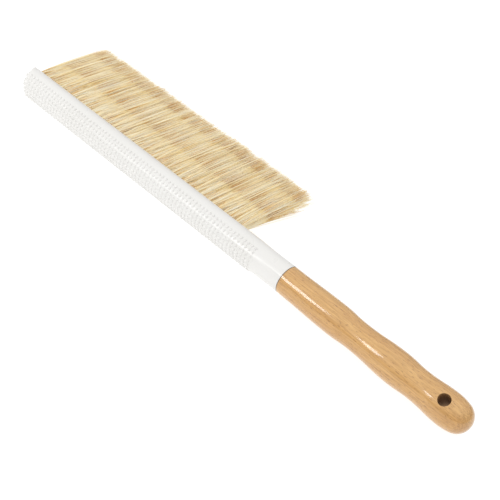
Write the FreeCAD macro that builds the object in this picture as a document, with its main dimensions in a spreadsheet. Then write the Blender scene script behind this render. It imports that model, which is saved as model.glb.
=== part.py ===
import FreeCAD, Part
import math
import os

import Sketcher

# A long-handled body brush, lying on its side. A white moulded head carries three rows of
# soft bristle tufts on one side and a field of massage nubs on its round back. A turned
# wooden handle is glued into the head's neck and has a hanging hole near its end.
#
# The origin is the middle of the hanging hole. +X runs along the handle's axis, away from
# the head, +Y is the way the bristles point, and +Z is up. All sizes are millimetres.

doc = FreeCAD.newDocument("BodyBrush")
sheet = doc.addObject("Spreadsheet::Sheet", "Sizes")

DRIVING_SIZES = [
    ("head_length", 284.5, "end of the neck to the tip of the nose"),
    ("head_radius", 11.3, "round back of the head"),
    ("face_height", 6.3, "flat bristle face above the head's axis"),
    ("face_end", 45.5, "end of the neck to where the flat face stops"),
    ("face_ramp", 8.0, "length of the ramp from the face up to the round neck"),
    ("neck_radius", 11.0, "smooth neck, flush with the handle"),
    ("neck_length", 21.0, "straight part of the neck"),
    ("neck_taper", 9.0, "taper from the neck to the head"),
    ("nub_height", 0.9, "how far the massage nubs stand proud of the back"),
    ("nub_field_angle", 128.0, "angle of the back that the nubs cover"),
    ("nub_field_end", 27.0, "end of the neck to the first nubs"),
    ("nub_field_root", 0.5, "how far the nub field reaches into the bar"),
    ("tufts_per_row", 38, "tufts in the upper row, one fewer in each row below"),
    ("tuft_pitch", 6.03, "spacing of the tufts along a row"),
    ("tuft_start", 52.05, "end of the neck to the first tuft of the upper row"),
    ("row_spacing", 6.2, "spacing of the rows across the face"),
    ("row_lean", 1.8, "outward lean of the outer rows, degrees"),
    ("hole_radius", 2.2, "blind hole for one tuft"),
    ("hole_depth", 7.0, "depth of a tuft's hole"),
    ("tuft_clearance", 0.1, "gap between a tuft and its hole"),
    ("tuft_length", 77.0, "length of a tuft outside the face"),
    ("tuft_tip_radius", 2.9, "spread of a tuft at its tip"),
    ("anchor_height", 1.6, "height of the wire anchor across a tuft's fold"),
    ("anchor_thickness", 0.45, "thickness of the wire anchor"),
    ("handle_length", 162.4, "end of the neck to the end of the handle"),
    ("handle_bend", 1.24, "angle between the head and the handle, degrees"),
    ("first_swell_at", 46.0, "distance along the handle"),
    ("first_swell_radius", 11.7, "radius there"),
    ("first_waist_at", 67.0, "distance along the handle"),
    ("first_waist_radius", 10.7, "radius there"),
    ("second_swell_at", 100.3, "distance along the handle"),
    ("second_swell_radius", 12.2, "radius there"),
    ("second_waist_at", 119.5, "distance along the handle"),
    ("second_waist_radius", 11.2, "radius there"),
    ("end_swell_at", 143.7, "distance along the handle"),
    ("end_swell_radius", 12.55, "radius there, the handle's widest"),
    ("end_dome_radius", 11.6, "rounded end of the handle"),
    ("tenon_radius", 7.5, "peg of the handle inside the neck"),
    ("tenon_length", 28.0, "length of the peg"),
    ("glue_gap", 0.1, "room for glue round the peg and at its end"),
    ("hang_hole_radius", 4.5, "hanging hole through the handle"),
    ("hang_hole_at", 141.5, "end of the neck to the hanging hole"),
    ("hang_hole_roll", 34.0, "turn of the hanging hole about the handle, degrees"),
    ("overrun", 5.0, "how far a cutting outline runs past what it cuts"),
]

for row, (name, value, note) in enumerate(DRIVING_SIZES, start=1):
    sheet.set(f"A{row}", name)
    sheet.set(f"B{row}", str(value))
    sheet.setAlias(f"B{row}", name)
    sheet.set(f"C{row}", note)
doc.recompute()

ORIGIN_POINT = (-1, 1)
HORIZONTAL_AXIS = -1
START, END, CENTRE = 1, 2, 3


def amount(total):
    """The number that a sum of named sizes and plain numbers comes to."""
    result = 0.0
    sign = 1.0
    for word in total.split():
        if word in "+-":
            sign = -1.0 if word == "-" else 1.0
        elif word[0].isalpha():
            result += sign * float(sheet.get(word))
        else:
            result += sign * float(word)
    return result


def bound(total, sign=1):
    """The same sum as an expression on the sheet, so that a feature follows it."""
    words = [f"Sizes.{word}" if word[0].isalpha() else word for word in total.split()]
    expression = " ".join(words)
    return f"-1 * (0 + {expression})" if sign < 0 else f"0 + {expression}"


def sketch_on(body, name, role, offset=("0", "0", "0"), turn="0"):
    """A sketch on one of the body's own planes, moved and turned by sums of sizes."""
    plane = next(item for item in body.Origin.OriginFeatures if item.Role == role)
    sketch = body.newObject("Sketcher::SketchObject", name)
    sketch.AttachmentSupport = [(plane, "")]
    sketch.MapMode = "FlatFace"
    sketch.AttachmentOffset = FreeCAD.Placement(
        FreeCAD.Vector(*[amount(value) for value in offset]),
        FreeCAD.Rotation(FreeCAD.Vector(0, 0, 1), amount(turn)),
    )
    for letter, value in zip("xyz", offset):
        sketch.setExpression(f".AttachmentOffset.Base.{letter}", bound(value))
    sketch.setExpression(".AttachmentOffset.Rotation.Angle", bound(turn))
    return sketch


def pin(sketch, edge, end, x, y):
    """Hold one end of an edge at a point given by two sums of sizes."""
    for kind, total in (("DistanceX", x), ("DistanceY", y)):
        value = amount(total)
        ends = (*ORIGIN_POINT, edge, end) if value >= 0 else (edge, end, *ORIGIN_POINT)
        index = sketch.addConstraint(Sketcher.Constraint(kind, *ends, abs(value)))
        sketch.setExpression(f"Constraints[{index}]", bound(total, 1 if value >= 0 else -1))


def join(sketch, first, second, smooth=False):
    """Join the end of one edge to the start of the next, tangent if smooth."""
    kind = "Tangent" if smooth else "Coincident"
    sketch.addConstraint(Sketcher.Constraint(kind, first, END, second, START))


def add_arc(sketch, centre, start, end, clockwise):
    """An arc from start to end about a centre, all three as number pairs."""
    radius = math.dist(centre, start)
    angles = [math.atan2(point[1] - centre[1], point[0] - centre[0]) for point in (start, end)]
    if clockwise:
        angles.reverse()
    circle = Part.Circle(FreeCAD.Vector(*centre, 0), FreeCAD.Vector(0, 0, 1), radius)
    return sketch.addGeometry(Part.ArcOfCircle(circle, *angles))


def add_line(sketch, start, end):
    """A straight edge between two number pairs."""
    return sketch.addGeometry(Part.LineSegment(FreeCAD.Vector(*start, 0), FreeCAD.Vector(*end, 0)))


def add_polygon(sketch, corners):
    """A closed outline of straight edges. Each corner is a pair of sums of sizes."""
    points = [(amount(x), amount(y)) for x, y in corners]
    edges = []
    for start, end in zip(points, points[1:] + points[:1]):
        edges.append(add_line(sketch, start, end))
    for first, second in zip(edges, edges[1:] + edges[:1]):
        join(sketch, first, second)
    for edge, (x, y) in zip(edges, corners):
        pin(sketch, edge, START, x, y)


def volume_of(body):
    """Volume of a body after its latest feature has been worked out."""
    doc.recompute()
    return body.Shape.Volume


def revolve(body, kind, name, sketch, angle="360", midplane=False):
    """Revolve a sketch about its own horizontal axis, adding or cutting."""
    before = volume_of(body) if body.Tip else 0.0
    feature = body.newObject(kind, name)
    feature.Profile = sketch
    feature.ReferenceAxis = (sketch, ["H_Axis"])
    feature.Midplane = midplane
    feature.setExpression("Angle", bound(angle))
    change = volume_of(body) - before
    if (change < 0) != (kind == "PartDesign::Groove"):
        raise RuntimeError(f"{name} went the wrong way: {change:.1f} mm3")
    return feature


def push(body, kind, name, sketch, length):
    """Pad or pocket a sketch by a length, half to each side of its plane."""
    before = volume_of(body) if body.Tip else 0.0
    feature = body.newObject(kind, name)
    feature.Profile = sketch
    feature.SideType = "Symmetric"
    feature.setExpression("Length", bound(length))
    change = volume_of(body) - before
    if (change < 0) != (kind == "PartDesign::Pocket"):
        raise RuntimeError(f"{name} went the wrong way: {change:.1f} mm3")
    return feature


def repeat_along_row(body, name, features, tufts):
    """Copy features along the head, one for every tuft of a row, towards the nose."""
    before = volume_of(body)
    pattern = body.newObject("PartDesign::LinearPattern", name)
    pattern.Originals = features
    axis = next(item for item in body.Origin.OriginFeatures if item.Role == "X_Axis")
    pattern.Direction = (axis, [""])
    pattern.Reversed = True
    pattern.Mode = "Extent"
    pattern.setExpression("Length", f"Sizes.tuft_pitch * ({bound(tufts)} - 1)")
    pattern.setExpression("Occurrences", bound(tufts))
    body.Tip = pattern
    if abs(volume_of(body) - before) < 1.0:
        raise RuntimeError(f"{name} changed nothing")
    return pattern


def new_body(label, yaw="0", roll="0"):
    """A sub-part whose own origin is the middle of the joint between head and handle."""
    body = doc.addObject("PartDesign::Body", label)
    body.Label = label
    body.setExpression(".Placement.Base.x", "-1 * Sizes.hang_hole_at")
    body.setExpression(".Placement.Rotation.Yaw", bound(yaw))
    body.setExpression(".Placement.Rotation.Roll", bound(roll))
    return body


# The three rows: name, place across the face, lean, place of the first tuft, and tufts.
# Each row starts one tuft further from the neck than the row above it.
ROWS = [
    ("upper", "row_spacing", "row_lean", "- tuft_start", "tufts_per_row"),
    ("middle", "0", "0", "- tuft_start - tuft_pitch", "tufts_per_row - 1"),
    ("lower", "- row_spacing", "- row_lean", "- tuft_start - tuft_pitch - tuft_pitch", "tufts_per_row - 2"),
]


def sketch_at_tuft(body, name, row):
    """A sketch whose horizontal axis is the axis of the first tuft of a row."""
    _, across, lean, along, _ = row
    return sketch_on(body, name, "YZ_Plane", ("face_height", across, along), lean)


def make_head():
    """White moulded head: round bar with a ball nose, flat bristle face and socket."""
    body = new_body("head", yaw="handle_bend")

    # Round bar with a slimmer neck at the handle. The neck runs a little long, and is
    # trimmed square to the handle further down.
    outline = sketch_on(body, "head_outline", "XY_Plane")
    add_polygon(outline, [
        ("- head_length", "0"),
        ("- head_length", "head_radius"),
        ("- neck_length - neck_taper", "head_radius"),
        ("- neck_length", "neck_radius"),
        ("overrun", "neck_radius"),
        ("overrun", "0"),
    ])
    revolve(body, "PartDesign::Revolution", "head_bar", outline)

    # Band on the back as high as the massage nubs, from the neck to the rounded nose.
    nose_start = "head_radius + face_height - head_length"
    band = sketch_on(body, "nub_field_outline", "XY_Plane")
    add_polygon(band, [
        (nose_start, "nub_field_root - head_radius"),
        (nose_start, "- head_radius - nub_height"),
        ("- nub_field_end", "- head_radius - nub_height"),
        ("- nub_field_end", "nub_field_root - head_radius"),
    ])
    revolve(body, "PartDesign::Revolution", "nub_field", band, "nub_field_angle", midplane=True)

    # Nose rounded to a ball that is centred in the bristle face and runs smoothly out of
    # the back. The sketch's own axis lies in that face.
    nose = sketch_on(body, "nose_outline", "XY_Plane", ("0", "face_height", "0"))
    corners = [
        ("- head_length", "0"),
        ("- head_length - overrun", "0"),
        ("- head_length - overrun", "- head_radius - face_height - overrun"),
        (nose_start, "- head_radius - face_height - overrun"),
        (nose_start, "- head_radius - face_height"),
    ]
    numbers = [(amount(x), amount(y)) for x, y in corners]
    sides = [add_line(nose, start, end) for start, end in zip(numbers, numbers[1:])]
    ball = add_arc(nose, (amount(nose_start), 0.0), numbers[-1], numbers[0], clockwise=True)
    for first, second in zip(sides, sides[1:]):
        join(nose, first, second)
    for side, (x, y) in zip(sides, corners):
        pin(nose, side, START, x, y)
    pin(nose, sides[-1], END, *corners[-1])
    nose.addConstraint(Sketcher.Constraint("Coincident", ball, START, sides[0], START))
    nose.addConstraint(Sketcher.Constraint("Coincident", ball, END, sides[-1], END))
    nose.addConstraint(Sketcher.Constraint("PointOnObject", ball, CENTRE, HORIZONTAL_AXIS))
    revolve(body, "PartDesign::Groove", "nose_ball", nose)

    # Flat face for the bristles, cut from the nose to a short ramp before the neck.
    face = sketch_on(body, "face_outline", "XY_Plane")
    add_polygon(face, [
        ("- head_length - overrun", "face_height"),
        ("- face_end", "face_height"),
        ("- face_end + face_ramp", "head_radius"),
        ("- face_end + face_ramp", "head_radius + overrun"),
        ("- head_length - overrun", "head_radius + overrun"),
    ])
    push(body, "PartDesign::Pocket", "bristle_face", face, "head_radius + head_radius + overrun")

    # Blind holes for the tufts, leaning out in the outer rows.
    for row in ROWS:
        drill = sketch_at_tuft(body, f"{row[0]}_hole_outline", row)
        add_polygon(drill, [
            ("- hole_depth", "0"),
            ("overrun", "0"),
            ("overrun", "hole_radius"),
            ("- hole_depth", "hole_radius"),
        ])
        hole = revolve(body, "PartDesign::Groove", f"{row[0]}_hole", drill)
        repeat_along_row(body, f"{row[0]}_holes", [hole], row[-1])

    # Socket for the handle's peg, and the neck's end trimmed square to the handle.
    socket = sketch_on(body, "socket_outline", "XY_Plane", turn="- handle_bend")
    add_polygon(socket, [
        ("- tenon_length - glue_gap", "0"),
        ("overrun + overrun", "0"),
        ("overrun + overrun", "neck_radius + overrun"),
        ("0", "neck_radius + overrun"),
        ("0", "tenon_radius + glue_gap"),
        ("- tenon_length - glue_gap", "tenon_radius + glue_gap"),
    ])
    revolve(body, "PartDesign::Groove", "socket", socket)
    return body


def make_handle():
    """Turned wooden handle: peg, three swells, rounded end and hanging hole."""
    body = new_body("handle", roll="hang_hole_roll")
    outline = sketch_on(body, "handle_outline", "XY_Plane")

    # Swells and waists, each joined to the next by a pair of equal, tangent arcs.
    stations = [
        ("0", "neck_radius"),
        ("first_swell_at", "first_swell_radius"),
        ("first_waist_at", "first_waist_radius"),
        ("second_swell_at", "second_swell_radius"),
        ("second_waist_at", "second_waist_radius"),
        ("end_swell_at", "end_swell_radius"),
    ]
    arcs = []
    for near, far in zip(stations, stations[1:]):
        start = amount(near[0]), amount(near[1])
        end = amount(far[0]), amount(far[1])
        middle = (start[0] + end[0]) / 2, (start[1] + end[1]) / 2
        run, rise = end[0] - start[0], end[1] - start[1]
        radius = (run ** 2 + rise ** 2) / (4 * rise)
        first = add_arc(outline, (start[0], start[1] + radius), start, middle, clockwise=rise < 0)
        second = add_arc(outline, (end[0], end[1] - radius), middle, end, clockwise=rise > 0)
        near_end, first_meet = (END, START) if rise < 0 else (START, END)
        second_meet, far_end = (START, END) if rise < 0 else (END, START)
        pin(outline, first, near_end, *near)
        pin(outline, second, far_end, *far)
        outline.addConstraint(Sketcher.Constraint("Tangent", first, first_meet, second, second_meet))
        outline.addConstraint(Sketcher.Constraint("Vertical", first, CENTRE, first, near_end))
        outline.addConstraint(Sketcher.Constraint("Vertical", second, CENTRE, second, far_end))
        arcs.append((first, second))

    # Rounded end: a shoulder arc from the last swell runs into a dome about the axis.
    swell = amount("end_swell_at"), amount("end_swell_radius")
    dome_radius = amount("end_dome_radius")
    dome_centre = amount("handle_length - end_dome_radius"), 0.0
    reach = dome_centre[0] - swell[0]
    drop = swell[1] - dome_radius
    shoulder_radius = (swell[1] ** 2 + reach ** 2 - dome_radius ** 2) / (2 * drop)
    shoulder_centre = swell[0], swell[1] - shoulder_radius
    away = math.atan2(-shoulder_centre[1], reach)
    meeting = (
        dome_centre[0] + dome_radius * math.cos(away),
        dome_centre[1] + dome_radius * math.sin(away),
    )
    tip = amount("handle_length"), 0.0
    shoulder = add_arc(outline, shoulder_centre, swell, meeting, clockwise=True)
    dome = add_arc(outline, dome_centre, meeting, tip, clockwise=True)
    pin(outline, shoulder, END, "end_swell_at", "end_swell_radius")
    pin(outline, dome, START, "handle_length", "0")
    outline.addConstraint(Sketcher.Constraint("Vertical", shoulder, CENTRE, shoulder, END))
    outline.addConstraint(Sketcher.Constraint("PointOnObject", dome, CENTRE, HORIZONTAL_AXIS))
    outline.addConstraint(Sketcher.Constraint("Tangent", shoulder, START, dome, END))
    index = outline.addConstraint(Sketcher.Constraint("Radius", dome, dome_radius))
    outline.setExpression(f"Constraints[{index}]", bound("end_dome_radius"))

    # The axis, the peg that goes into the neck, and the step where the neck's end stops.
    peg = [
        ("handle_length", "0"),
        ("- tenon_length", "0"),
        ("- tenon_length", "tenon_radius"),
        ("0", "tenon_radius"),
        ("0", "neck_radius"),
    ]
    numbers = [(amount(x), amount(y)) for x, y in peg]
    lines = [add_line(outline, start, end) for start, end in zip(numbers, numbers[1:])]
    for first, second in zip(lines, lines[1:]):
        join(outline, first, second)
    for line, (x, y) in zip(lines[1:], peg[1:]):
        pin(outline, line, START, x, y)
    outline.addConstraint(Sketcher.Constraint("Coincident", lines[0], START, dome, START))
    outline.addConstraint(Sketcher.Constraint("Coincident", lines[-1], END, arcs[0][0], START))
    revolve(body, "PartDesign::Revolution", "handle_turning", outline)

    # Hanging hole straight through the axis.
    drill = sketch_on(body, "hang_hole_outline", "XY_Plane")
    centre = FreeCAD.Vector(amount("hang_hole_at"), 0, 0)
    circle = Part.Circle(centre, FreeCAD.Vector(0, 0, 1), amount("hang_hole_radius"))
    edge = drill.addGeometry(circle)
    pin(drill, edge, CENTRE, "hang_hole_at", "0")
    index = drill.addConstraint(Sketcher.Constraint("Radius", edge, amount("hang_hole_radius")))
    drill.setExpression(f"Constraints[{index}]", bound("hang_hole_radius"))
    push(body, "PartDesign::Pocket", "hang_hole", drill, "end_swell_radius + end_swell_radius + overrun")
    return body


def make_tufts(row):
    """One row of bristle tufts, each spreading to its tip and slotted for its anchor."""
    body = new_body(f"tufts_{row[0]}_row", yaw="handle_bend")
    outline = sketch_at_tuft(body, f"{row[0]}_tuft_outline", row)
    add_polygon(outline, [
        ("- hole_depth", "0"),
        ("tuft_length", "0"),
        ("tuft_length", "tuft_tip_radius"),
        ("0", "hole_radius - tuft_clearance"),
        ("- hole_depth", "hole_radius - tuft_clearance"),
    ])
    tuft = revolve(body, "PartDesign::Revolution", f"{row[0]}_tuft", outline)
    slot_outline = sketch_at_tuft(body, f"{row[0]}_slot_outline", row)
    add_polygon(slot_outline, [
        ("- hole_depth - overrun", "- hole_radius"),
        ("- hole_depth + anchor_height", "- hole_radius"),
        ("- hole_depth + anchor_height", "hole_radius"),
        ("- hole_depth - overrun", "hole_radius"),
    ])
    slot = push(body, "PartDesign::Pocket", f"{row[0]}_slot", slot_outline, "anchor_thickness")
    repeat_along_row(body, f"{row[0]}_tufts", [tuft, slot], row[-1])
    return body


def make_anchors(row):
    """One row of flat wire anchors, one across the fold of each tuft."""
    body = new_body(f"anchors_{row[0]}_row", yaw="handle_bend")
    outline = sketch_at_tuft(body, f"{row[0]}_anchor_outline", row)
    half_width = "hole_radius - tuft_clearance"
    add_polygon(outline, [
        ("- hole_depth", "- hole_radius + tuft_clearance"),
        ("- hole_depth + anchor_height", "- hole_radius + tuft_clearance"),
        ("- hole_depth + anchor_height", half_width),
        ("- hole_depth", half_width),
    ])
    anchor = push(body, "PartDesign::Pad", f"{row[0]}_anchor", outline, "anchor_thickness")
    repeat_along_row(body, f"{row[0]}_anchors", [anchor], row[-1])
    return body


def check(bodies):
    """Stop if any object failed, or if a sub-part isn't made of whole, valid solids."""
    doc.recompute()
    for item in doc.Objects:
        if "Invalid" in item.State or "Error" in item.State:
            raise RuntimeError(f"{item.Label}: {item.State}")
    for body in bodies:
        shape = body.Shape
        if shape.isNull() or not shape.isValid() or not shape.Solids:
            raise RuntimeError(f"{body.Label} is not a valid solid")


bodies = [make_head(), make_handle()]
for row in ROWS:
    bodies.append(make_tufts(row))
    bodies.append(make_anchors(row))
check(bodies)

os.makedirs("parts", exist_ok=True)
for body in bodies:
    body.Shape.exportStep(f"parts/{body.Label}.step")
    print(f"{body.Label}: {len(body.Shape.Solids)} solids, {body.Shape.Volume:.0f} mm3")
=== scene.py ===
import math
import random

import bpy
from mathutils import Matrix, Vector


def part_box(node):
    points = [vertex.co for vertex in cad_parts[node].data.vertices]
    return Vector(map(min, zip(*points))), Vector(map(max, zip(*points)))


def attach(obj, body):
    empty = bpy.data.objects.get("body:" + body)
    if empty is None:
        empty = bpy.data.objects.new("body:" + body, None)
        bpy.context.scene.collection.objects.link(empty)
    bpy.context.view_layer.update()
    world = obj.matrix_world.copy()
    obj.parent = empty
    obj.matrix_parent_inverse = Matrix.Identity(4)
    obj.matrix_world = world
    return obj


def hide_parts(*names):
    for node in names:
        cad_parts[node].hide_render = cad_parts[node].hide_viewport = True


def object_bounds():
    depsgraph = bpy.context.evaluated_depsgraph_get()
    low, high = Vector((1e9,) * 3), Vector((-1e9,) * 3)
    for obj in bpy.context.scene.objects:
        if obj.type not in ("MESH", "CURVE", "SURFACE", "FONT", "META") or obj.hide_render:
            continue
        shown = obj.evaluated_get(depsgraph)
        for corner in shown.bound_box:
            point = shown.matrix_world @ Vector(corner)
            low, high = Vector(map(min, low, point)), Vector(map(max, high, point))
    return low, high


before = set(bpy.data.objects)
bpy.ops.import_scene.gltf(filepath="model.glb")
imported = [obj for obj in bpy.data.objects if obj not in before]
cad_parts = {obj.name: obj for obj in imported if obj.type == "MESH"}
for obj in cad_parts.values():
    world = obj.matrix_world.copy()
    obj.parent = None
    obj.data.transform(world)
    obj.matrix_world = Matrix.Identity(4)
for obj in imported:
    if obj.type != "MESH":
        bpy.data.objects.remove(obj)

cad_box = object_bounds()

# ---------------------------------------------------------------------------------------
# Head. One white injection-moulded bar with a rounded nose, a flat face on the bristle side
# and a plain neck. The moulding has a blind hole for every tuft and a socket for the peg
# of the handle, and it lies at a very small angle to the handle.
# ---------------------------------------------------------------------------------------
head_low, head_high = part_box("head")
JOINT = Vector((head_high.x, 0, 0))
HEAD_BEND = math.radians(1.24)
HEAD_LENGTH = (JOINT.x - head_low.x) / math.cos(HEAD_BEND)
HEAD_RADIUS = 0.0113
NECK_RADIUS = 0.011
NECK_LENGTH = 0.021
NECK_TAPER = 0.009
FACE_HEIGHT = 0.0063
FACE_END = 0.0455
FACE_RAMP = 0.008
RIM_ROUNDING = 0.0004
RIM_ANGLE = math.radians(35)
SMOOTH_ANGLE = math.radians(38)
PEG_RADIUS = 0.0075
PEG_LENGTH = 0.028
GLUE_GAP = 0.0001
CUTTER_ROOM = 0.005
LATHE_STEPS = 120
MERGE_DISTANCE = 0.000001
NEAR = 0.0001


def arc_points(centre, radius, start, end, steps):
    """Points on an arc in the XY plane, from one angle to another, both ends included."""
    points = []
    for step in range(steps + 1):
        angle = math.radians(start + (end - start) * step / steps)
        points.append(centre + radius * Vector((math.cos(angle), math.sin(angle), 0)))
    return points


def turn_on_lathe(name, outline, steps):
    """A round piece: an outline is drawn point by point and spun about the X axis."""
    bpy.ops.object.select_all(action="DESELECT")
    bpy.ops.mesh.primitive_plane_add(size=0.001, location=(0, 0, 0))
    piece = bpy.context.object
    piece.name = name
    bpy.ops.object.mode_set(mode="EDIT")
    bpy.ops.mesh.select_mode(type="VERT")
    bpy.ops.mesh.select_all(action="SELECT")
    bpy.ops.mesh.merge(type="CENTER")
    bpy.ops.transform.translate(value=outline[0])
    for here, there in zip(outline, outline[1:]):
        bpy.ops.mesh.extrude_region_move(TRANSFORM_OT_translate={"value": there - here})
    bpy.ops.mesh.select_all(action="SELECT")
    bpy.ops.mesh.spin(steps=steps, angle=math.tau, center=(0, 0, 0), axis=(1, 0, 0))
    bpy.ops.mesh.select_all(action="SELECT")
    bpy.ops.mesh.remove_doubles(threshold=MERGE_DISTANCE)
    bpy.ops.mesh.normals_make_consistent(inside=False)
    bpy.ops.object.mode_set(mode="OBJECT")
    return piece


def make_active(piece):
    """Select one piece alone."""
    bpy.ops.object.select_all(action="DESELECT")
    piece.select_set(True)
    bpy.context.view_layer.objects.active = piece


def apply_place(piece, place):
    """Move a piece by a matrix and leave the place in its mesh."""
    make_active(piece)
    piece.matrix_world = place @ piece.matrix_world
    bpy.ops.object.transform_apply(location=True, rotation=True, scale=True)


def combine(piece, tool, operation):
    """Cut a tool out of a piece, or melt it into the piece, and remove the tool."""
    make_active(piece)
    modifier = piece.modifiers.new("combine", "BOOLEAN")
    modifier.operation = operation
    modifier.solver = "MANIFOLD"
    modifier.object = tool
    bpy.ops.object.modifier_apply(modifier=modifier.name)
    bpy.data.objects.remove(tool)


def round_edges(piece, width, angle, segments=3):
    """Round every edge sharper than an angle, and shade the piece smooth between them."""
    make_active(piece)
    modifier = piece.modifiers.new("round", "BEVEL")
    modifier.width = width
    modifier.segments = segments
    modifier.limit_method = "ANGLE"
    modifier.angle_limit = angle
    bpy.ops.object.modifier_apply(modifier=modifier.name)


HEAD_PLACE = Matrix.Translation(JOINT) @ Matrix.Rotation(HEAD_BEND, 4, "Z")

head_outline = [
    Vector((-HEAD_LENGTH, 0, 0)),
    Vector((-HEAD_LENGTH, HEAD_RADIUS, 0)),
    Vector((-NECK_LENGTH - NECK_TAPER, HEAD_RADIUS, 0)),
    Vector((-NECK_LENGTH, NECK_RADIUS, 0)),
    Vector((CUTTER_ROOM, NECK_RADIUS, 0)),
    Vector((CUTTER_ROOM, 0, 0)),
]
head = turn_on_lathe("head_moulding", head_outline, LATHE_STEPS)

# Nose rounded to a ball that is centred in the bristle face and runs out of the back. The
# edge that it leaves on each side of the bar is blended away.
NOSE_RADIUS = HEAD_RADIUS + FACE_HEIGHT
NOSE_CENTRE = Vector((NOSE_RADIUS - HEAD_LENGTH, FACE_HEIGHT, 0))
NOSE_BLEND = 0.0035
NOSE_EDGE_ANGLE = math.radians(20)
NOSE_EDGE_SEGMENTS = 6
NOSE_ARC_STEPS = 24
around_nose = NOSE_RADIUS + CUTTER_ROOM
nose_axis_point = Vector((NOSE_CENTRE.x, 0, 0))
nose_outline = arc_points(nose_axis_point, NOSE_RADIUS, 180, 90, NOSE_ARC_STEPS) + [
    Vector((NOSE_CENTRE.x, around_nose, 0)),
    Vector((-HEAD_LENGTH - CUTTER_ROOM, around_nose, 0)),
    Vector((-HEAD_LENGTH - CUTTER_ROOM, 0, 0)),
]
nose_cutter = turn_on_lathe("nose_cutter", nose_outline, LATHE_STEPS)
apply_place(nose_cutter, Matrix.Translation((0, FACE_HEIGHT, 0)))
combine(head, nose_cutter, "DIFFERENCE")
round_edges(head, NOSE_BLEND, NOSE_EDGE_ANGLE, NOSE_EDGE_SEGMENTS)

# Flat face, with its ramp at the neck.
ramp_slope = FACE_RAMP / (HEAD_RADIUS - FACE_HEIGHT)
ramp_run = ramp_slope * (HEAD_RADIUS + CUTTER_ROOM - FACE_HEIGHT)
face_low = Vector((-HEAD_LENGTH - CUTTER_ROOM, FACE_HEIGHT, -2 * HEAD_RADIUS))
face_high = Vector((ramp_run - FACE_END, HEAD_RADIUS + CUTTER_ROOM, 2 * HEAD_RADIUS))
bpy.ops.object.select_all(action="DESELECT")
face_middle = (face_low + face_high) / 2
bpy.ops.mesh.primitive_cube_add(size=1, location=face_middle, scale=face_high - face_low)
face_cutter = bpy.context.object
bpy.ops.object.transform_apply(location=True, rotation=True, scale=True)
for vertex in face_cutter.data.vertices:
    vertex.select = vertex.co.x > face_high.x - NEAR and vertex.co.y < FACE_HEIGHT + NEAR
bpy.ops.object.mode_set(mode="EDIT")
bpy.ops.transform.translate(value=(-ramp_run, 0, 0))
bpy.ops.object.mode_set(mode="OBJECT")
combine(head, face_cutter, "DIFFERENCE")

# Neck end trimmed square to the handle, with the socket for the peg.
apply_place(head, HEAD_PLACE)
socket_outline = [
    JOINT + Vector((-PEG_LENGTH - GLUE_GAP, 0, 0)),
    JOINT + Vector((-PEG_LENGTH - GLUE_GAP, PEG_RADIUS + GLUE_GAP, 0)),
    JOINT + Vector((0, PEG_RADIUS + GLUE_GAP, 0)),
    JOINT + Vector((0, NECK_RADIUS + CUTTER_ROOM, 0)),
    JOINT + Vector((2 * CUTTER_ROOM, NECK_RADIUS + CUTTER_ROOM, 0)),
    JOINT + Vector((2 * CUTTER_ROOM, 0, 0)),
]
socket_cutter = turn_on_lathe("socket_cutter", socket_outline, LATHE_STEPS)
combine(head, socket_cutter, "DIFFERENCE")
round_edges(head, RIM_ROUNDING, RIM_ANGLE)

# Tuft holes: three rows, each one starting one tuft further from the neck than the last.
TUFTS_PER_ROW = 38
TUFT_PITCH = 0.00603
TUFT_START = 0.05205
ROW_SPACING = 0.0062
ROW_LEAN = math.radians(1.8)
HOLE_RADIUS = 0.0022
HOLE_DEPTH = 0.007
HOLE_SIDES = 20
ROWS = {
    "upper": (ROW_SPACING, ROW_LEAN, -TUFT_START, TUFTS_PER_ROW),
    "middle": (0.0, 0.0, -TUFT_START - TUFT_PITCH, TUFTS_PER_ROW - 1),
    "lower": (-ROW_SPACING, -ROW_LEAN, -TUFT_START - 2 * TUFT_PITCH, TUFTS_PER_ROW - 2),
}

for across, lean, start, count in ROWS.values():
    drill_size = HOLE_DEPTH + CUTTER_ROOM
    bpy.ops.object.select_all(action="DESELECT")
    bpy.ops.mesh.primitive_cylinder_add(vertices=HOLE_SIDES, radius=HOLE_RADIUS, depth=drill_size)
    drill = bpy.context.object
    upright = Matrix.Rotation(math.radians(-90), 4, "X")
    sunk = Matrix.Translation((0, (CUTTER_ROOM - HOLE_DEPTH) / 2, 0)) @ upright
    seat = Matrix.Translation((start, FACE_HEIGHT, across)) @ Matrix.Rotation(lean, 4, "X")
    apply_place(drill, seat @ sunk)
    modifier = drill.modifiers.new("row", "ARRAY")
    modifier.count = count
    modifier.use_relative_offset = False
    modifier.use_constant_offset = True
    modifier.constant_offset_displace = (-TUFT_PITCH, 0, 0)
    bpy.ops.object.modifier_apply(modifier=modifier.name)
    apply_place(drill, HEAD_PLACE)
    combine(head, drill, "DIFFERENCE")


# ---------------------------------------------------------------------------------------
# Massage nubs. Small round domes moulded with the head on its round back, in lines along
# the bar, and carried on round the nose. They are melted into the moulding.
# ---------------------------------------------------------------------------------------
NUB_HEIGHT = 0.0009
NUB_RADIUS = 0.0014
NUB_PITCH = 0.0035
NUB_ROWS = 8
NUB_FIRST_ANGLE = 29.8
NUB_LAST_ANGLE = 150.2
NUB_FIELD_START = 0.028
NUB_RINGS_ON_NOSE = 5
NUB_RING_ANGLE = 14.0
NUB_SIDES = 12
NUB_ROOT = 0.0004

nub_outline = [
    Vector((-NUB_ROOT, 0, 0)),
    Vector((-NUB_ROOT, NUB_RADIUS, 0)),
    Vector((0.25 * NUB_HEIGHT, 0.8 * NUB_RADIUS, 0)),
    Vector((0.65 * NUB_HEIGHT, 0.55 * NUB_RADIUS, 0)),
    Vector((0.93 * NUB_HEIGHT, 0.25 * NUB_RADIUS, 0)),
    Vector((NUB_HEIGHT, 0, 0)),
]
nub = turn_on_lathe("nub", nub_outline, NUB_SIDES)


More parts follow.
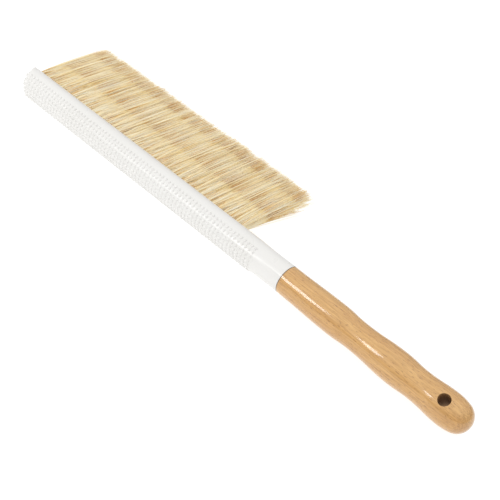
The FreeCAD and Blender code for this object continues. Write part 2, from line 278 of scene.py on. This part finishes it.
def nub_place(angle, along, nose_angle):
    """Place of a nub, which stands square on the skin of the moulding. It is found from a
    point along the bar's axis, by the angle round the bar from +Z to -Y and then to the nose."""
    round_bar = Matrix.Rotation(math.radians(angle - 180), 4, "X")
    round_nose = Matrix.Rotation(math.radians(nose_angle), 4, "Y")
    outward = HEAD_PLACE.to_3x3() @ (round_bar @ round_nose @ Vector((0, 0, -1)))
    start = HEAD_PLACE @ Vector((along, 0, 0)) + 2 * NOSE_RADIUS * outward
    found, skin, normal, _ = head.ray_cast(start, -outward)
    assert found
    return Matrix.Translation(skin) @ normal.to_track_quat("X", "Y").to_matrix().to_4x4()


nub_copies = []


def add_nub(place):
    """One more copy of the nub, with its own mesh."""
    copy = nub.copy()
    copy.data = nub.data.copy()
    copy.matrix_world = place
    bpy.context.collection.objects.link(copy)
    nub_copies.append(copy)


NUB_FIELD_ANGLE = NUB_LAST_ANGLE - NUB_FIRST_ANGLE
columns = round((-NOSE_CENTRE.x - NUB_FIELD_START) / NUB_PITCH)
for column in range(columns + 1):
    for row in range(NUB_ROWS):
        angle = NUB_FIRST_ANGLE + NUB_FIELD_ANGLE * row / (NUB_ROWS - 1)
        add_nub(nub_place(angle, -NUB_FIELD_START - column * NUB_PITCH, 0))

for ring in range(1, NUB_RINGS_ON_NOSE + 1):
    nose_angle = ring * NUB_RING_ANGLE
    ring_radius = HEAD_RADIUS * math.cos(math.radians(nose_angle))
    count = max(2, round(math.radians(NUB_FIELD_ANGLE) * ring_radius / NUB_PITCH) + 1)
    for spot in range(count):
        angle = NUB_FIRST_ANGLE + NUB_FIELD_ANGLE * spot / (count - 1)
        add_nub(nub_place(angle, NOSE_CENTRE.x, nose_angle))

bpy.data.objects.remove(nub)
bpy.ops.object.select_all(action="DESELECT")
for copy in nub_copies:
    copy.select_set(True)
bpy.context.view_layer.objects.active = nub_copies[0]
bpy.ops.object.join()
nubs = bpy.context.object
nubs.name = "massage_nubs"
apply_place(nubs, Matrix())
combine(head, nubs, "UNION")
make_active(head)
bpy.ops.object.shade_smooth_by_angle(angle=SMOOTH_ANGLE)


# Finish of the moulding: glossy white plastic, with the slight waviness of a moulded skin.
def surface_unevenness():
    """Node group: a fine and a broad waviness as a height, and a mask for uneven gloss."""
    group = bpy.data.node_groups.new("surface_unevenness", "ShaderNodeTree")
    for name in ("Broad Scale", "Fine Scale", "Fine Share"):
        group.interface.new_socket(name, in_out="INPUT", socket_type="NodeSocketFloat")
    group.interface.new_socket("Height", in_out="OUTPUT", socket_type="NodeSocketFloat")
    group.interface.new_socket("Mask", in_out="OUTPUT", socket_type="NodeSocketFloat")
    nodes, links = group.nodes, group.links
    given = nodes.new("NodeGroupInput")
    result = nodes.new("NodeGroupOutput")
    place = nodes.new("ShaderNodeTexCoord")
    broad = nodes.new("ShaderNodeTexNoise")
    fine = nodes.new("ShaderNodeTexNoise")
    blend = nodes.new("ShaderNodeMix")
    for noise, scale in ((broad, "Broad Scale"), (fine, "Fine Scale")):
        links.new(place.outputs["Object"], noise.inputs["Vector"])
        links.new(given.outputs[scale], noise.inputs["Scale"])
        noise.inputs["Detail"].default_value = 2.0
    links.new(given.outputs["Fine Share"], blend.inputs["Factor"])
    links.new(broad.outputs["Fac"], blend.inputs["A"])
    links.new(fine.outputs["Fac"], blend.inputs["B"])
    links.new(blend.outputs["Result"], result.inputs["Height"])
    links.new(broad.outputs["Fac"], result.inputs["Mask"])
    return group


UNEVENNESS = surface_unevenness()


def new_material(name):
    """A node material, its nodes, its links and its Principled shader."""
    material = bpy.data.materials.new(name)
    material.use_nodes = True
    nodes, links = material.node_tree.nodes, material.node_tree.links
    return material, nodes, links, nodes["Principled BSDF"]


def add_unevenness(nodes, broad, fine, share):
    """The shared waviness, placed in a material with its own values."""
    node = nodes.new("ShaderNodeGroup")
    node.node_tree = UNEVENNESS
    node.inputs["Broad Scale"].default_value = broad
    node.inputs["Fine Scale"].default_value = fine
    node.inputs["Fine Share"].default_value = share
    return node


def add_bump(nodes, links, height, shader, distance):
    """A bump in metres that feeds the shader's normal."""
    bump = nodes.new("ShaderNodeBump")
    bump.inputs["Distance"].default_value = distance
    links.new(height, bump.inputs["Height"])
    links.new(bump.outputs["Normal"], shader.inputs["Normal"])
    return bump


def add_range(nodes, links, value, low, high, start=0.0, end=1.0):
    """A value between start and end, spread from low to high."""
    spread = nodes.new("ShaderNodeMapRange")
    spread.inputs["From Min"].default_value = start
    spread.inputs["From Max"].default_value = end
    spread.inputs["To Min"].default_value = low
    spread.inputs["To Max"].default_value = high
    links.new(value, spread.inputs["Value"])
    return spread.outputs["Result"]


def white_plastic():
    """Glossy warm-white moulded plastic, a touch uneven in gloss."""
    material, nodes, links, shader = new_material("white_moulded_plastic")
    waves = add_unevenness(nodes, 45.0, 700.0, 0.25)
    tint = nodes.new("ShaderNodeMix")
    tint.data_type = "RGBA"
    tint.inputs["A"].default_value = (0.80, 0.786, 0.755, 1)
    tint.inputs["B"].default_value = (0.83, 0.822, 0.80, 1)
    links.new(waves.outputs["Mask"], tint.inputs["Factor"])
    links.new(tint.outputs["Result"], shader.inputs["Base Color"])
    gloss = add_range(nodes, links, waves.outputs["Mask"], 0.24, 0.36, 0.3, 0.7)
    links.new(gloss, shader.inputs["Roughness"])
    shader.inputs["IOR"].default_value = 1.5
    add_bump(nodes, links, waves.outputs["Height"], shader, 0.00004)
    return material


head.data.materials.clear()
head.data.materials.append(white_plastic())
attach(head, "root")
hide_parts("head")


# ---------------------------------------------------------------------------------------
# Anchors. A short flat of drawn brass wire is driven across the fold of every tuft, at
# the bottom of its hole, and holds it there. The wires are the design's own pieces.
# ---------------------------------------------------------------------------------------
def drawn_wire():
    """Dull brass wire with fine drawing lines along it."""
    material, nodes, links, shader = new_material("drawn_brass_wire")
    place = nodes.new("ShaderNodeTexCoord")
    stretch = nodes.new("ShaderNodeMapping")
    stretch.inputs["Scale"].default_value = (4000.0, 4000.0, 150.0)
    lines = nodes.new("ShaderNodeTexNoise")
    lines.inputs["Scale"].default_value = 1.0
    links.new(place.outputs["Object"], stretch.inputs["Vector"])
    links.new(stretch.outputs["Vector"], lines.inputs["Vector"])
    tint = nodes.new("ShaderNodeMix")
    tint.data_type = "RGBA"
    tint.inputs["A"].default_value = (0.55, 0.38, 0.15, 1)
    tint.inputs["B"].default_value = (0.75, 0.56, 0.26, 1)
    links.new(lines.outputs["Fac"], tint.inputs["Factor"])
    links.new(tint.outputs["Result"], shader.inputs["Base Color"])
    links.new(add_range(nodes, links, lines.outputs["Fac"], 0.25, 0.45), shader.inputs["Roughness"])
    shader.inputs["Metallic"].default_value = 1.0
    add_bump(nodes, links, lines.outputs["Fac"], shader, 0.00001)
    return material


wire = drawn_wire()
for row in ROWS:
    for material_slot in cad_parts[f"anchors_{row}_row"].material_slots:
        material_slot.material = wire


# ---------------------------------------------------------------------------------------
# Bristle tufts. Every hole holds a bundle of soft, pale hairs. The real bundle is folded over its
# anchor; here the hairs start straight inside the hole.
# The hairs leave the hole packed tight, spread and clump a little on their way, and end
# in fine ragged tips.
# ---------------------------------------------------------------------------------------
HAIRS_PER_TUFT = 300
HAIR_POINTS = 6
HAIR_RADIUS = 0.00014
HAIR_TIP_SHARE = 0.3
TUFT_LENGTH = 0.077
TUFT_ROOT_RADIUS = 0.0021
TUFT_TIP_WIDTH = 0.0052
TUFT_TIP_DEPTH = 0.0033
CLUMPS_PER_TUFT = 9
CLUMP_PULL = 0.12
HAIR_SAG = 0.0006
HAIR_BOW = 0.0003
HAIR_SPREAD = 0.0007
TRIM_ALLOWANCE = 0.0025
TRIM_SLOPE = 0.0035
NECK_CROP = 0.012
NECK_SHARE = 0.74
NECK_FAN = 0.0024
NECK_FAN_RUN = 0.077
NOSE_SHARE = 0.25
NOSE_FAN = 0.0012
USUAL_SHORTFALL = 0.0017
LARGEST_SHORTFALL = 0.012
WISP_SHARE = 0.04
LOWEST_HAIR = cad_box[0].z + 2 * HAIR_RADIUS
STRAY_REACH = 0.011
HALF_ROWS = ("nose", "neck")

dice = random.Random(7)
steps_along = [index / (HAIR_POINTS - 1) for index in range(HAIR_POINTS)]
hair_radii = [1 - (1 - HAIR_TIP_SHARE) * max(0.0, 5 * step - 4) for step in steps_along]


def disc_point(radius):
    """A random point in a disc, as a pair of sideways offsets."""
    reach = radius * math.sqrt(dice.random())
    angle = dice.uniform(0, math.tau)
    return reach * math.cos(angle), reach * math.sin(angle)


def tip_height(along):
    """Length of the hairs, which are trimmed slightly shorter towards the nose and at the
    last tufts by the neck."""
    share = (along + HEAD_LENGTH) / HEAD_LENGTH
    crop = NECK_CROP * max(0.0, share - NECK_SHARE) ** 1.2
    return TUFT_LENGTH - TRIM_ALLOWANCE + TRIM_SLOPE * share - crop


def grow_tuft(curve, shades, along_with_painted_shade, start, across, lean, stray_share):
    """Add the hairs of one tuft to a curve, in the head's own frame. A share of them strays
    out past the neck end of the row."""
    share = (start + HEAD_LENGTH) / HEAD_LENGTH
    nose_fan = NOSE_FAN * max(0.0, 1 - share / NOSE_SHARE)
    neck_fan = NECK_FAN * max(0.0, (share - NECK_SHARE) / NECK_FAN_RUN)
    fan = -nose_fan - neck_fan
    drift = dice.gauss(fan, 0.0003), dice.gauss(-0.0003, 0.0002)
    tuft_length = tip_height(start) + dice.gauss(0, 0.0004)
    tuft_shade = dice.gauss(0, 0.05)
    clumps = [disc_point(TUFT_TIP_DEPTH) for _ in range(CLUMPS_PER_TUFT)]
    spread = TUFT_TIP_WIDTH / TUFT_ROOT_RADIUS, TUFT_TIP_DEPTH / TUFT_ROOT_RADIUS
    for _ in range(HAIRS_PER_TUFT):
        root = disc_point(TUFT_ROOT_RADIUS)
        own_tip = [
            offset * growth + dice.gauss(0, HAIR_SPREAD) for offset, growth in zip(root, spread)
        ]
        clump = min(range(CLUMPS_PER_TUFT), key=lambda i: math.dist(clumps[i], own_tip))
        pull = dice.uniform(0.0, CLUMP_PULL)
        tip = [
            own + pull * (centre - own) + far
            for own, centre, far in zip(own_tip, clumps[clump], drift)
        ]
        shortfall = dice.expovariate(1 / USUAL_SHORTFALL)
        length = tuft_length - min(LARGEST_SHORTFALL, shortfall)
        if dice.random() < WISP_SHARE:
            length += dice.uniform(0.001, 0.003)
        stray = dice.uniform(0.0, STRAY_REACH) if dice.random() < stray_share else 0.0
        length += 0.2 * stray
        bow = dice.gauss(0, HAIR_BOW), dice.gauss(0, HAIR_BOW)
        places = []
        for step in steps_along:
            opening = 1 - (1 - step) ** 3
            wave = math.sin(math.pi * step)
            x = start + root[0] + (tip[0] - root[0]) * opening + bow[0] * wave
            x += stray * step ** 1.5
            z = root[1] + (tip[1] - root[1]) * opening + bow[1] * wave - HAIR_SAG * step * step
            y = step * length - HOLE_DEPTH * 0.6 * (1 - step)
            turned_y = y * math.cos(lean) - z * math.sin(lean)
            turned_z = y * math.sin(lean) + z * math.cos(lean)
            places += (x, FACE_HEIGHT + turned_y, max(LOWEST_HAIR, across + turned_z), 1)
        spline = curve.splines.new("POLY")
        spline.points.add(HAIR_POINTS - 1)
        spline.points.foreach_set("co", places)
        spline.points.foreach_set("radius", hair_radii)
        shades.append(min(1.0, max(0.0, 0.5 + tuft_shade + dice.gauss(0, 0.2))))
        # Place of each point on the colour ramp. Hairs at the sides of a tuft keep the deep root
        # colour further up: painted shade in the gaps between tufts.
        side = min(1.0, abs(root[0]) / TUFT_ROOT_RADIUS)
        along_with_painted_shade += [
            step * (1 - 0.9 * side ** 2 * max(0.0, 1 - step / 0.35)) for step in steps_along
        ]


def pale_bristle():
    """Straw hair, each hair its own tint. The deep colours at the root end of the ramp are painted
    shade between the tufts, and the pale tip is partly painted light shining through the fine tips.
    """
    material, nodes, links, shader = new_material("pale_bristle")
    shade = nodes.new("ShaderNodeAttribute")
    shade.attribute_name = "hair_shade"
    along = nodes.new("ShaderNodeAttribute")
    along.attribute_name = "along_hair_with_painted_shade"
    by_length = nodes.new("ShaderNodeValToRGB")
    ramp = by_length.color_ramp
    # Deep brown at the root end: painted shade between the tufts.
    ramp.elements[0].position = 0.0
    ramp.elements[0].color = (0.66, 0.38, 0.12, 1)
    # Pale cream at the tip end: partly painted light shining through the fine tips.
    ramp.elements[1].position = 1.0
    ramp.elements[1].color = (0.99, 0.96, 0.82, 1)
    above_hole = ramp.elements.new(0.16)
    above_hole.color = (0.96, 0.81, 0.44, 1)
    middle = ramp.elements.new(0.4)
    middle.color = (0.99, 0.90, 0.64, 1)
    links.new(along.outputs["Fac"], by_length.inputs["Fac"])
    tint = nodes.new("ShaderNodeMix")
    tint.data_type = "RGBA"
    tint.blend_type = "MULTIPLY"
    tint.inputs["Factor"].default_value = 1.0
    by_hair = nodes.new("ShaderNodeValToRGB")
    by_hair.color_ramp.elements[0].color = (0.95, 0.90, 0.78, 1)
    by_hair.color_ramp.elements[1].color = (1.0, 1.0, 1.0, 1)
    links.new(shade.outputs["Fac"], by_hair.inputs["Fac"])
    links.new(by_length.outputs["Color"], tint.inputs["A"])
    links.new(by_hair.outputs["Color"], tint.inputs["B"])
    links.new(tint.outputs["Result"], shader.inputs["Base Color"])
    links.new(add_range(nodes, links, shade.outputs["Fac"], 0.55, 0.4), shader.inputs["Roughness"])
    shader.inputs["Specular IOR Level"].default_value = 0.5
    return material


bristle = pale_bristle()

section = bpy.data.curves.new("hair_section", "CURVE")
section.dimensions = "2D"
section_line = section.splines.new("POLY")
section_line.points.add(2)
section_line.use_cyclic_u = True
for corner, point in enumerate(section_line.points):
    angle = math.tau * corner / 3
    point.co = (HAIR_RADIUS * math.cos(angle), HAIR_RADIUS * math.sin(angle), 0, 1)
section_piece = bpy.data.objects.new("hair_section", section)
bpy.context.collection.objects.link(section_piece)

# Share of stray hairs in the first and second tuft from the neck.
stray_shares = {0: 0.14, 1: 0.06}
for row, (across, lean, first, count) in ROWS.items():
    for half in HALF_ROWS:
        curve = bpy.data.curves.new(f"tufts_{row}_{half}", "CURVE")
        curve.dimensions = "3D"
        curve.fill_mode = "FULL"
        curve.bevel_mode = "OBJECT"
        curve.bevel_object = section_piece
        curve.use_fill_caps = True
        shades, along_with_painted_shade = [], []
        middle = count // 2
        tufts = range(middle, count) if half == "nose" else range(middle)
        for tuft in tufts:
            start = first - tuft * TUFT_PITCH
            grow_tuft(curve, shades, along_with_painted_shade, start, across, lean, stray_shares.get(tuft, 0.0))
        piece = bpy.data.objects.new(curve.name, curve)
        bpy.context.collection.objects.link(piece)
        make_active(piece)
        bpy.ops.object.convert(target="MESH")
        piece = bpy.context.object
        vertex_count = len(piece.data.vertices)
        per_hair = vertex_count // len(shades)
        per_point = per_hair // HAIR_POINTS
        assert vertex_count == per_point * HAIR_POINTS * len(shades)
        hair_shade = piece.data.attributes.new("hair_shade", "FLOAT", "POINT")
        spread_shades = [shade for shade in shades for _ in range(per_hair)]
        hair_shade.data.foreach_set("value", spread_shades)
        # Ramp place along each hair, which carries the painted shade between the tufts.
        along_hair_with_painted_shade = piece.data.attributes.new("along_hair_with_painted_shade", "FLOAT", "POINT")
        spread_along_with_painted_shade = [value for value in along_with_painted_shade for _ in range(per_point)]
        along_hair_with_painted_shade.data.foreach_set("value", spread_along_with_painted_shade)
        apply_place(piece, HEAD_PLACE)
        bpy.ops.object.shade_flat()
        piece.data.materials.clear()
        piece.data.materials.append(bristle)
        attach(piece, "root")
    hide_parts(f"tufts_{row}_row")
bpy.data.objects.remove(section_piece)


# ---------------------------------------------------------------------------------------
# Handle. One piece of beech turned on a lathe: a peg for the neck, three gentle swells, a
# rounded end and a hanging hole drilled through it. It is sanded and clear varnished.
# ---------------------------------------------------------------------------------------
SWELLS = [
    (0.0, NECK_RADIUS),
    (0.046, 0.0117),
    (0.067, 0.0107),
    (0.1003, 0.0122),
    (0.1195, 0.0112),
    (0.1437, 0.01255),
]
HANDLE_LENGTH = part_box("handle")[1].x - JOINT.x
END_DOME_RADIUS = 0.0116
HOLE_ROLL = math.radians(34.0)
HANG_HOLE_RADIUS = 0.0045
HANDLE_ARC_STEPS = 8
SHOULDER_ARC_STEPS = 4
DOME_ARC_STEPS = 16
HANDLE_LATHE_STEPS = 96
HANG_HOLE_SIDES = 64


def ease_between(near, far):
    """Points of the two equal tangent arcs that join one swell or waist to the next."""
    run, rise = far[0] - near[0], far[1] - near[1]
    radius = (run ** 2 + rise ** 2) / (4 * abs(rise))
    turn = math.degrees(2 * math.atan2(abs(rise), run))
    side = 1 if rise > 0 else -1
    first = Vector((near[0], near[1] + side * radius, 0))
    second = Vector((far[0], far[1] - side * radius, 0))
    points = arc_points(first, radius, -90 * side, (turn - 90) * side, HANDLE_ARC_STEPS)
    points += arc_points(second, radius, (90 + turn) * side, 90 * side, HANDLE_ARC_STEPS)[1:]
    return points


swell_at, swell_radius = SWELLS[-1]
dome_centre = Vector((HANDLE_LENGTH - END_DOME_RADIUS, 0, 0))
reach = dome_centre.x - swell_at
rise = swell_radius - END_DOME_RADIUS
shoulder_radius = (swell_radius ** 2 + reach ** 2 - END_DOME_RADIUS ** 2) / (2 * rise)
shoulder_centre = Vector((swell_at, swell_radius - shoulder_radius, 0))
meeting_angle = math.degrees(math.atan2(-shoulder_centre.y, reach))

handle_outline = [
    Vector((-PEG_LENGTH, 0, 0)),
    Vector((-PEG_LENGTH, PEG_RADIUS, 0)),
    Vector((0, PEG_RADIUS, 0)),
    Vector((0, NECK_RADIUS - RIM_ROUNDING, 0)),
]
bumps = []
for near, far in zip(SWELLS, SWELLS[1:]):
    points = ease_between(near, far)
    bumps += points if not bumps else points[1:]
bumps[0] = Vector((RIM_ROUNDING, NECK_RADIUS, 0))
handle_outline += bumps
handle_outline += arc_points(
    shoulder_centre, shoulder_radius, 90, meeting_angle, SHOULDER_ARC_STEPS
)[1:]
handle_outline += arc_points(
    dome_centre, END_DOME_RADIUS, meeting_angle, 0, DOME_ARC_STEPS
)[1:]
handle_outline = [JOINT + point for point in handle_outline]
handle = turn_on_lathe("handle_turning", handle_outline, HANDLE_LATHE_STEPS)

bpy.ops.object.select_all(action="DESELECT")
bpy.ops.mesh.primitive_cylinder_add(
    vertices=HANG_HOLE_SIDES, radius=HANG_HOLE_RADIUS, depth=4 * swell_radius
)
drill = bpy.context.object
apply_place(drill, Matrix.Rotation(HOLE_ROLL, 4, "X"))
combine(handle, drill, "DIFFERENCE")
round_edges(handle, RIM_ROUNDING, RIM_ANGLE)
make_active(handle)
bpy.ops.object.shade_smooth_by_angle(angle=SMOOTH_ANGLE)


def varnished_beech():
    """Pale beech under clear varnish: fine grain along the handle, short brown rays, and a
    dark line of painted shade in the gap where it meets the head."""
    material, nodes, links, shader = new_material("varnished_beech")
    place = nodes.new("ShaderNodeTexCoord")

    def stretched_noise(scale, detail):
        stretch = nodes.new("ShaderNodeMapping")
        stretch.inputs["Scale"].default_value = scale
        noise = nodes.new("ShaderNodeTexNoise")
        noise.inputs["Scale"].default_value = 1.0
        noise.inputs["Detail"].default_value = detail
        links.new(place.outputs["Object"], stretch.inputs["Vector"])
        links.new(stretch.outputs["Vector"], noise.inputs["Vector"])
        return noise.outputs["Fac"]

    grain = stretched_noise((45.0, 1200.0, 1200.0), 4.0)
    bands = stretched_noise((6.0, 70.0, 70.0), 2.0)
    rays = stretched_noise((260.0, 1700.0, 1700.0), 1.0)
    grain_colour = nodes.new("ShaderNodeValToRGB")
    grain_colour.color_ramp.elements[0].position = 0.3
    grain_colour.color_ramp.elements[0].color = (0.54, 0.29, 0.085, 1)
    grain_colour.color_ramp.elements[1].position = 0.7
    grain_colour.color_ramp.elements[1].color = (0.76, 0.45, 0.155, 1)
    links.new(grain, grain_colour.inputs["Fac"])
    warm = nodes.new("ShaderNodeMix")
    warm.data_type = "RGBA"
    warm.blend_type = "MULTIPLY"
    warm.inputs["B"].default_value = (0.86, 0.78, 0.70, 1)
    links.new(add_range(nodes, links, bands, 0.0, 1.0, 0.35, 0.7), warm.inputs["Factor"])
    links.new(grain_colour.outputs["Color"], warm.inputs["A"])
    flecks = nodes.new("ShaderNodeMix")
    flecks.data_type = "RGBA"
    flecks.inputs["B"].default_value = (0.30, 0.13, 0.04, 1)
    links.new(add_range(nodes, links, rays, 0.0, 0.75, 0.62, 0.72), flecks.inputs["Factor"])
    links.new(warm.outputs["Result"], flecks.inputs["A"])
    # Dark line beside the head: painted shade in the gap between handle and head.
    painted_joint_shade = nodes.new("ShaderNodeMix")
    painted_joint_shade.data_type = "RGBA"
    painted_joint_shade.inputs["B"].default_value = (0.12, 0.06, 0.025, 1)
    place_parts = nodes.new("ShaderNodeSeparateXYZ")
    links.new(place.outputs["Object"], place_parts.inputs["Vector"])
    line_start, line_end = JOINT.x + 0.0004, JOINT.x + 0.0009
    near_joint = add_range(nodes, links, place_parts.outputs["X"], 0.9, 0.0, line_start, line_end)
    links.new(near_joint, painted_joint_shade.inputs["Factor"])
    links.new(flecks.outputs["Result"], painted_joint_shade.inputs["A"])
    links.new(painted_joint_shade.outputs["Result"], shader.inputs["Base Color"])
    links.new(add_range(nodes, links, grain, 0.5, 0.38), shader.inputs["Roughness"])
    shader.inputs["Coat Weight"].default_value = 1.0
    shader.inputs["Coat Roughness"].default_value = 0.1
    shader.inputs["Coat IOR"].default_value = 1.5
    waves = add_unevenness(nodes, 60.0, 500.0, 0.2)
    bump = add_bump(nodes, links, waves.outputs["Height"], shader, 0.00005)
    links.new(bump.outputs["Normal"], shader.inputs["Coat Normal"])
    return material


def hole_wood_with_painted_shade():
    """Bare wood inside the drilled hole, darkened with painted shade."""
    material, nodes, links, shader = new_material("drilled_wood_painted_shade")
    marks = add_unevenness(nodes, 300.0, 1500.0, 0.5)
    tint = nodes.new("ShaderNodeMix")
    tint.data_type = "RGBA"
    # Dark browns: painted shade on the wall inside the hole.
    tint.inputs["A"].default_value = (0.26, 0.14, 0.06, 1)
    tint.inputs["B"].default_value = (0.40, 0.24, 0.11, 1)
    links.new(marks.outputs["Height"], tint.inputs["Factor"])
    links.new(tint.outputs["Result"], shader.inputs["Base Color"])
    links.new(add_range(nodes, links, marks.outputs["Mask"], 0.7, 0.9), shader.inputs["Roughness"])
    shader.inputs["Specular IOR Level"].default_value = 0.2
    add_bump(nodes, links, marks.outputs["Height"], shader, 0.0001)
    return material


handle.data.materials.clear()
handle.data.materials.append(varnished_beech())
handle.data.materials.append(hole_wood_with_painted_shade())

# Wall of the hanging hole, which is left bare and darkened with painted shade.
hole_axis = Matrix.Rotation(HOLE_ROLL, 3, "X") @ Vector((0, 0, 1))
for face in handle.data.polygons:
    off_axis = face.center - face.center.dot(hole_axis) * hole_axis
    if off_axis.length < 1.02 * HANG_HOLE_RADIUS and abs(face.normal.dot(hole_axis)) < 0.2:
        face.material_index = 1

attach(handle, "root")
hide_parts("handle")


# ---------------------------------------------------------------------------------------
# Floor, light and camera. The brush lies on a plain white table under even light from all
# round, with one square softbox to the side.
# ---------------------------------------------------------------------------------------
FLOOR_SIZE = 8.0
bpy.ops.object.select_all(action="DESELECT")
bpy.ops.mesh.primitive_plane_add(size=FLOOR_SIZE, location=(0, 0, cad_box[0].z))
floor = bpy.context.object
floor.name = "floor"
floor_material, nodes, links, shader = new_material("white_table")
shader.inputs["Base Color"].default_value = (0.3, 0.3, 0.3, 1)
shader.inputs["Roughness"].default_value = 0.9
shader.inputs["Specular IOR Level"].default_value = 0.0
shader.inputs["Emission Color"].default_value = (1, 1, 1, 1)
shader.inputs["Emission Strength"].default_value = 0.87
floor.data.materials.append(floor_material)

scene = bpy.context.scene
world = bpy.data.worlds.new("studio")
world.use_nodes = True
sky_nodes, sky_links = world.node_tree.nodes, world.node_tree.links
sky = sky_nodes["Background"]
sky.inputs["Color"].default_value = (1, 1, 1, 1)
sky_place = sky_nodes.new("ShaderNodeTexCoord")
sky_height = sky_nodes.new("ShaderNodeSeparateXYZ")
sky_links.new(sky_place.outputs["Generated"], sky_height.inputs["Vector"])
sky_strength = add_range(sky_nodes, sky_links, sky_height.outputs["Z"], 0.22, 1.3)
sky_links.new(sky_strength, sky.inputs["Strength"])
scene.world = world
scene.view_settings.view_transform = "Standard"
scene.cycles.max_bounces = 16
scene.cycles.diffuse_bounces = 12

SOFTBOX_SIZE = 0.36
SOFTBOX_POWER = 4.1
SOFTBOX_DISTANCE = 1.4
SOFTBOX_DIRECTION = Vector((-0.472, -0.726, 0.5))
softbox = bpy.data.lights.new("key_softbox", "AREA")
softbox.shape = "RECTANGLE"
softbox.size = SOFTBOX_SIZE
softbox.size_y = SOFTBOX_SIZE
softbox.energy = SOFTBOX_POWER
lamp = bpy.data.objects.new("key_softbox", softbox)
bpy.context.collection.objects.link(lamp)
lamp.location = JOINT + SOFTBOX_DISTANCE * SOFTBOX_DIRECTION.normalized()
lamp.rotation_euler = (JOINT - lamp.location).to_track_quat("-Z", "Y").to_euler()

CAMERA_PLACE = Vector((0.1940, -0.5575, 0.4933))
CAMERA_AIM = Vector((-0.1829, 0.0076, -0.0066))
CAMERA_ROLL = math.radians(-17.14)
camera = bpy.data.objects.new("camera", bpy.data.cameras.new("camera"))
bpy.context.collection.objects.link(camera)
camera.data.sensor_width = 36.0
camera.data.lens = 85.2
camera.location = CAMERA_PLACE
aiming = (CAMERA_AIM - CAMERA_PLACE).to_track_quat("-Z", "Y")
camera.rotation_euler = (aiming.to_matrix() @ Matrix.Rotation(-CAMERA_ROLL, 3, "Z")).to_euler()
scene.camera = camera
